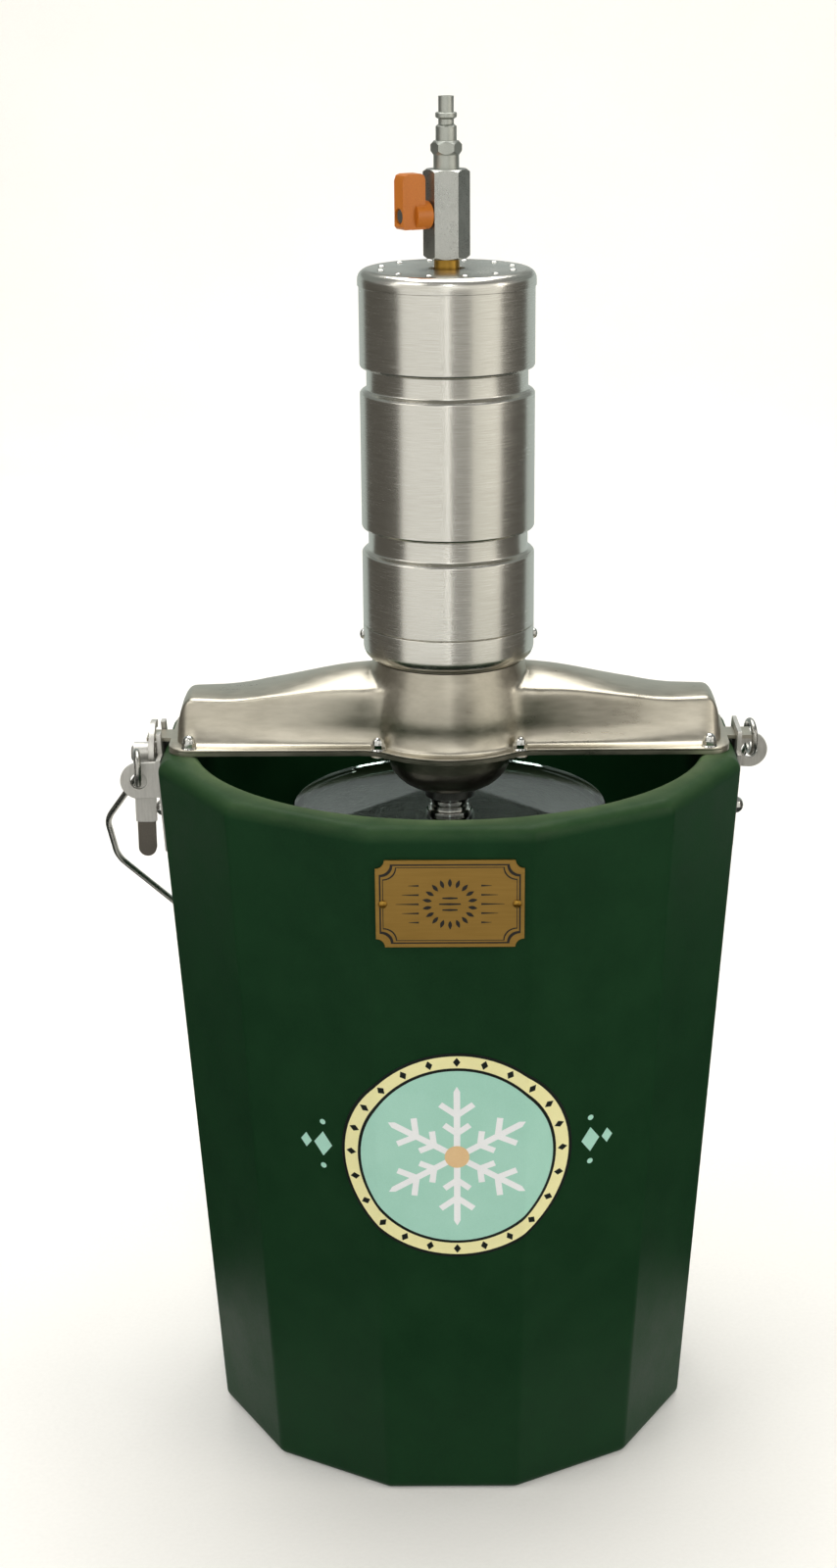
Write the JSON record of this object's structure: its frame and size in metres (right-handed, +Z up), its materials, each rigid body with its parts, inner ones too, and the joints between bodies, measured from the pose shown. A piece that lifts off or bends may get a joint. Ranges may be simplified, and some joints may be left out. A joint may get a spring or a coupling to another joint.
{
  "type": "ice cream freezer",
  "caption": "Twelve-sided insulated tub with a turning can, lid and dasher under a pressed steel gear frame, driven by an upright air motor with valve and hose plug; wire bail and side latch.",
  "frame": {"origin": "centre of the tub's foot, on the floor", "axes": "+Z up along the drive's axis, -Y to the front side with the plaque, -X to the side with the latch"},
  "size_m": [0.3699, 0.3242, 0.731],
  "materials": {
    "green_plastic": "satin moulded polyethylene with a fine grain",
    "brass": "brushed brass",
    "bracket_steel": "bare sheet steel",
    "bright_steel": "polished stainless",
    "tab_rubber": "dipped vinyl",
    "wire_steel": "drawn stainless wire",
    "black_plastic": "matt",
    "can_steel": "drawn stainless",
    "clear_plastic": "clear polycarbonate",
    "white_plastic": "satin",
    "frame_steel": "polished pressed stainless",
    "housing_steel": "satin turned stainless",
    "bronze": "sintered bronze",
    "gear_steel": "machined steel",
    "motor_aluminium": "machined aluminium",
    "vane_plastic": "phenolic",
    "felt": "pressed felt",
    "valve_steel": "blasted stainless bar",
    "orange_plastic": "moulded"
  },
  "bodies": {
    "freezer": {"tub": "green_plastic", "plaque": "brass", "plaque_screws": "brass", "right_bracket": "bracket_steel", "left_bracket": "bracket_steel", "bracket_bolts": "bright_steel", "latch_pivot": "bracket_steel", "can_pivot": "can_steel", "frame_shell": "frame_steel", "bottom_plate": "frame_steel", "frame_bolts": "bright_steel", "cap_nuts": "bright_steel", "gear_cup": "frame_steel", "hub_bush": "bronze", "idler_spider": "gear_steel", "ring_gear": "gear_steel", "gearbox_base": "gear_steel", "ball_bearings": "gear_steel", "front_plate": "motor_aluminium", "motor_cylinder": "motor_aluminium", "rear_plate": "motor_aluminium", "tie_bolts": "gear_steel", "base_ring": "housing_steel", "base_screws": "bright_steel", "housing_tube": "housing_steel", "muffler": "felt", "housing_cap": "housing_steel", "inlet_nipple": "brass", "valve_body": "valve_steel", "valve_seats": "white_plastic", "air_plug": "bright_steel"},
    "latch": {"latch_lever": "bracket_steel", "latch_tab": "tab_rubber"},
    "bail": {"bail": "wire_steel", "bail_grip": "black_plastic"},
    "can": {"can": "can_steel", "lid": "clear_plastic", "lid_hub": "bright_steel", "can_gear": "gear_steel"},
    "dasher": {"dasher": "can_steel", "scrapers": "white_plastic", "dasher_gear": "bronze", "output_shaft": "gear_steel", "second_carrier": "gear_steel"},
    "idler_1": {"idler_1": "bronze"},
    "idler_2": {"idler_2": "bronze"},
    "idler_3": {"idler_3": "bronze"},
    "second_planet_1": {"second_planet_1": "gear_steel"},
    "second_planet_2": {"second_planet_2": "gear_steel"},
    "second_planet_3": {"second_planet_3": "gear_steel"},
    "fast_carrier": {"first_carrier": "gear_steel"},
    "first_planet_1": {"first_planet_1": "gear_steel"},
    "first_planet_2": {"first_planet_2": "gear_steel"},
    "first_planet_3": {"first_planet_3": "gear_steel"},
    "rotor": {"rotor": "motor_aluminium", "vanes": "vane_plastic"},
    "valve": {"valve_ball": "gear_steel", "valve_stem": "gear_steel", "valve_handle": "orange_plastic", "handle_screw": "bright_steel"}
  },
  "joints": [
    {"name": "dasher_spin", "type": "hinge", "parent": "freezer", "child": "dasher", "pos_m": [0, 0, 0.2], "axis": [0, 0, 1], "continuous": true},
    {"name": "can_spin", "type": "hinge", "parent": "freezer", "child": "can", "pos_m": [0, 0, 0.2], "axis": [0, 0, 1], "continuous": true},
    {"name": "idler_1_spin", "type": "hinge", "parent": "freezer", "child": "idler_1", "pos_m": [0.0195, 0, 0.404], "axis": [0, 0, 1], "continuous": true},
    {"name": "idler_2_spin", "type": "hinge", "parent": "freezer", "child": "idler_2", "pos_m": [-0.00975, 0.01689, 0.404], "axis": [0, 0, 1], "continuous": true},
    {"name": "idler_3_spin", "type": "hinge", "parent": "freezer", "child": "idler_3", "pos_m": [-0.00975, -0.01689, 0.404], "axis": [0, 0, 1], "continuous": true},
    {"name": "second_planet_1_spin", "type": "hinge", "parent": "dasher", "child": "second_planet_1", "pos_m": [0.0195, 0, 0.462], "axis": [0, 0, 1], "continuous": true},
    {"name": "second_planet_2_spin", "type": "hinge", "parent": "dasher", "child": "second_planet_2", "pos_m": [-0.00975, 0.01689, 0.462], "axis": [0, 0, 1], "continuous": true},
    {"name": "second_planet_3_spin", "type": "hinge", "parent": "dasher", "child": "second_planet_3", "pos_m": [-0.00975, -0.01689, 0.462], "axis": [0, 0, 1], "continuous": true},
    {"name": "fast_carrier_spin", "type": "hinge", "parent": "freezer", "child": "fast_carrier", "pos_m": [0, 0, 0.475], "axis": [0, 0, 1], "continuous": true},
    {"name": "first_planet_1_spin", "type": "hinge", "parent": "fast_carrier", "child": "first_planet_1", "pos_m": [0.0195, 0, 0.485], "axis": [0, 0, 1], "continuous": true},
    {"name": "first_planet_2_spin", "type": "hinge", "parent": "fast_carrier", "child": "first_planet_2", "pos_m": [-0.00975, 0.01689, 0.485], "axis": [0, 0, 1], "continuous": true},
    {"name": "first_planet_3_spin", "type": "hinge", "parent": "fast_carrier", "child": "first_planet_3", "pos_m": [-0.00975, -0.01689, 0.485], "axis": [0, 0, 1], "continuous": true},
    {"name": "rotor_spin", "type": "hinge", "parent": "freezer", "child": "rotor", "pos_m": [0, 0, 0.546], "axis": [0, 0, 1], "continuous": true},
    {"name": "valve_turn", "type": "hinge", "parent": "freezer", "child": "valve", "pos_m": [0, 0, 0.6725], "axis": [-0.866, -0.5, 0], "range_deg": [0, 90]},
    {"name": "latch_turn", "type": "hinge", "parent": "freezer", "child": "latch", "pos_m": [-0.165, 0, 0.383], "axis": [1, 0, 0], "range_deg": [0, 100]},
    {"name": "bail_swing", "type": "hinge", "parent": "freezer", "child": "bail", "pos_m": [0, 0, 0.38264], "axis": [0.9883, 0.1526, 0], "range_deg": [0, 117.5]}
  ],
  "couplings": [
    {"joint": "can_spin", "follows": "dasher_spin", "ratio": -0.3},
    {"joint": "idler_1_spin", "follows": "dasher_spin", "ratio": -0.85714},
    {"joint": "idler_2_spin", "follows": "dasher_spin", "ratio": -0.85714},
    {"joint": "idler_3_spin", "follows": "dasher_spin", "ratio": -0.85714},
    {"joint": "second_planet_1_spin", "follows": "dasher_spin", "ratio": -2.8571},
    {"joint": "second_planet_2_spin", "follows": "dasher_spin", "ratio": -2.8571},
    {"joint": "second_planet_3_spin", "follows": "dasher_spin", "ratio": -2.8571},
    {"joint": "fast_carrier_spin", "follows": "dasher_spin", "ratio": 4.3333},
    {"joint": "first_planet_1_spin", "follows": "dasher_spin", "ratio": -12.381},
    {"joint": "first_planet_2_spin", "follows": "dasher_spin", "ratio": -12.381},
    {"joint": "first_planet_3_spin", "follows": "dasher_spin", "ratio": -12.381},
    {"joint": "rotor_spin", "follows": "dasher_spin", "ratio": 18.778}
  ]
}
